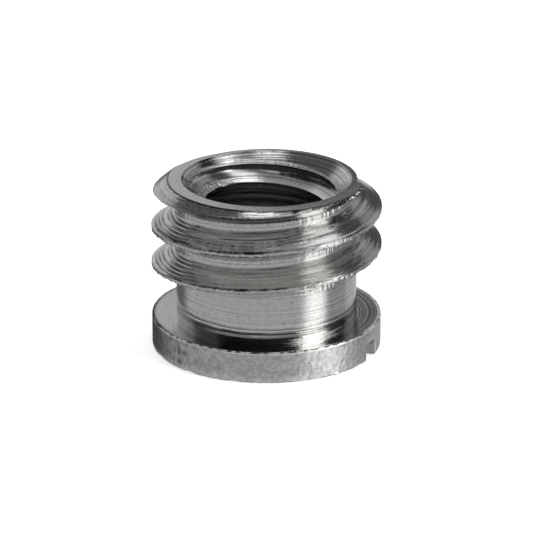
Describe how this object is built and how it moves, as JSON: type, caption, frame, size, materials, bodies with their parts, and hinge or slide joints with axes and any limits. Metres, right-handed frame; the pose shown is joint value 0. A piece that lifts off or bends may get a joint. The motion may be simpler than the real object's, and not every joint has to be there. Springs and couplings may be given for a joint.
{
  "type": "tripod thread adapter",
  "caption": "Flanged threaded bush: 3/8 inch thread outside, 1/4 inch thread through the middle, relief neck and screwdriver slot.",
  "frame": {"origin": "centre of the flange's underside", "axes": "+Z along the threads, from the flange to the open end; the screwdriver slot runs along X"},
  "size_m": [0.0096, 0.0096, 0.0072],
  "materials": {
    "nickel_plate": "bright nickel plate over turned metal, with tool lines"
  },
  "bodies": {
    "root": {"thread_adapter_bush": "nickel_plate"}
  },
  "joints": []
}
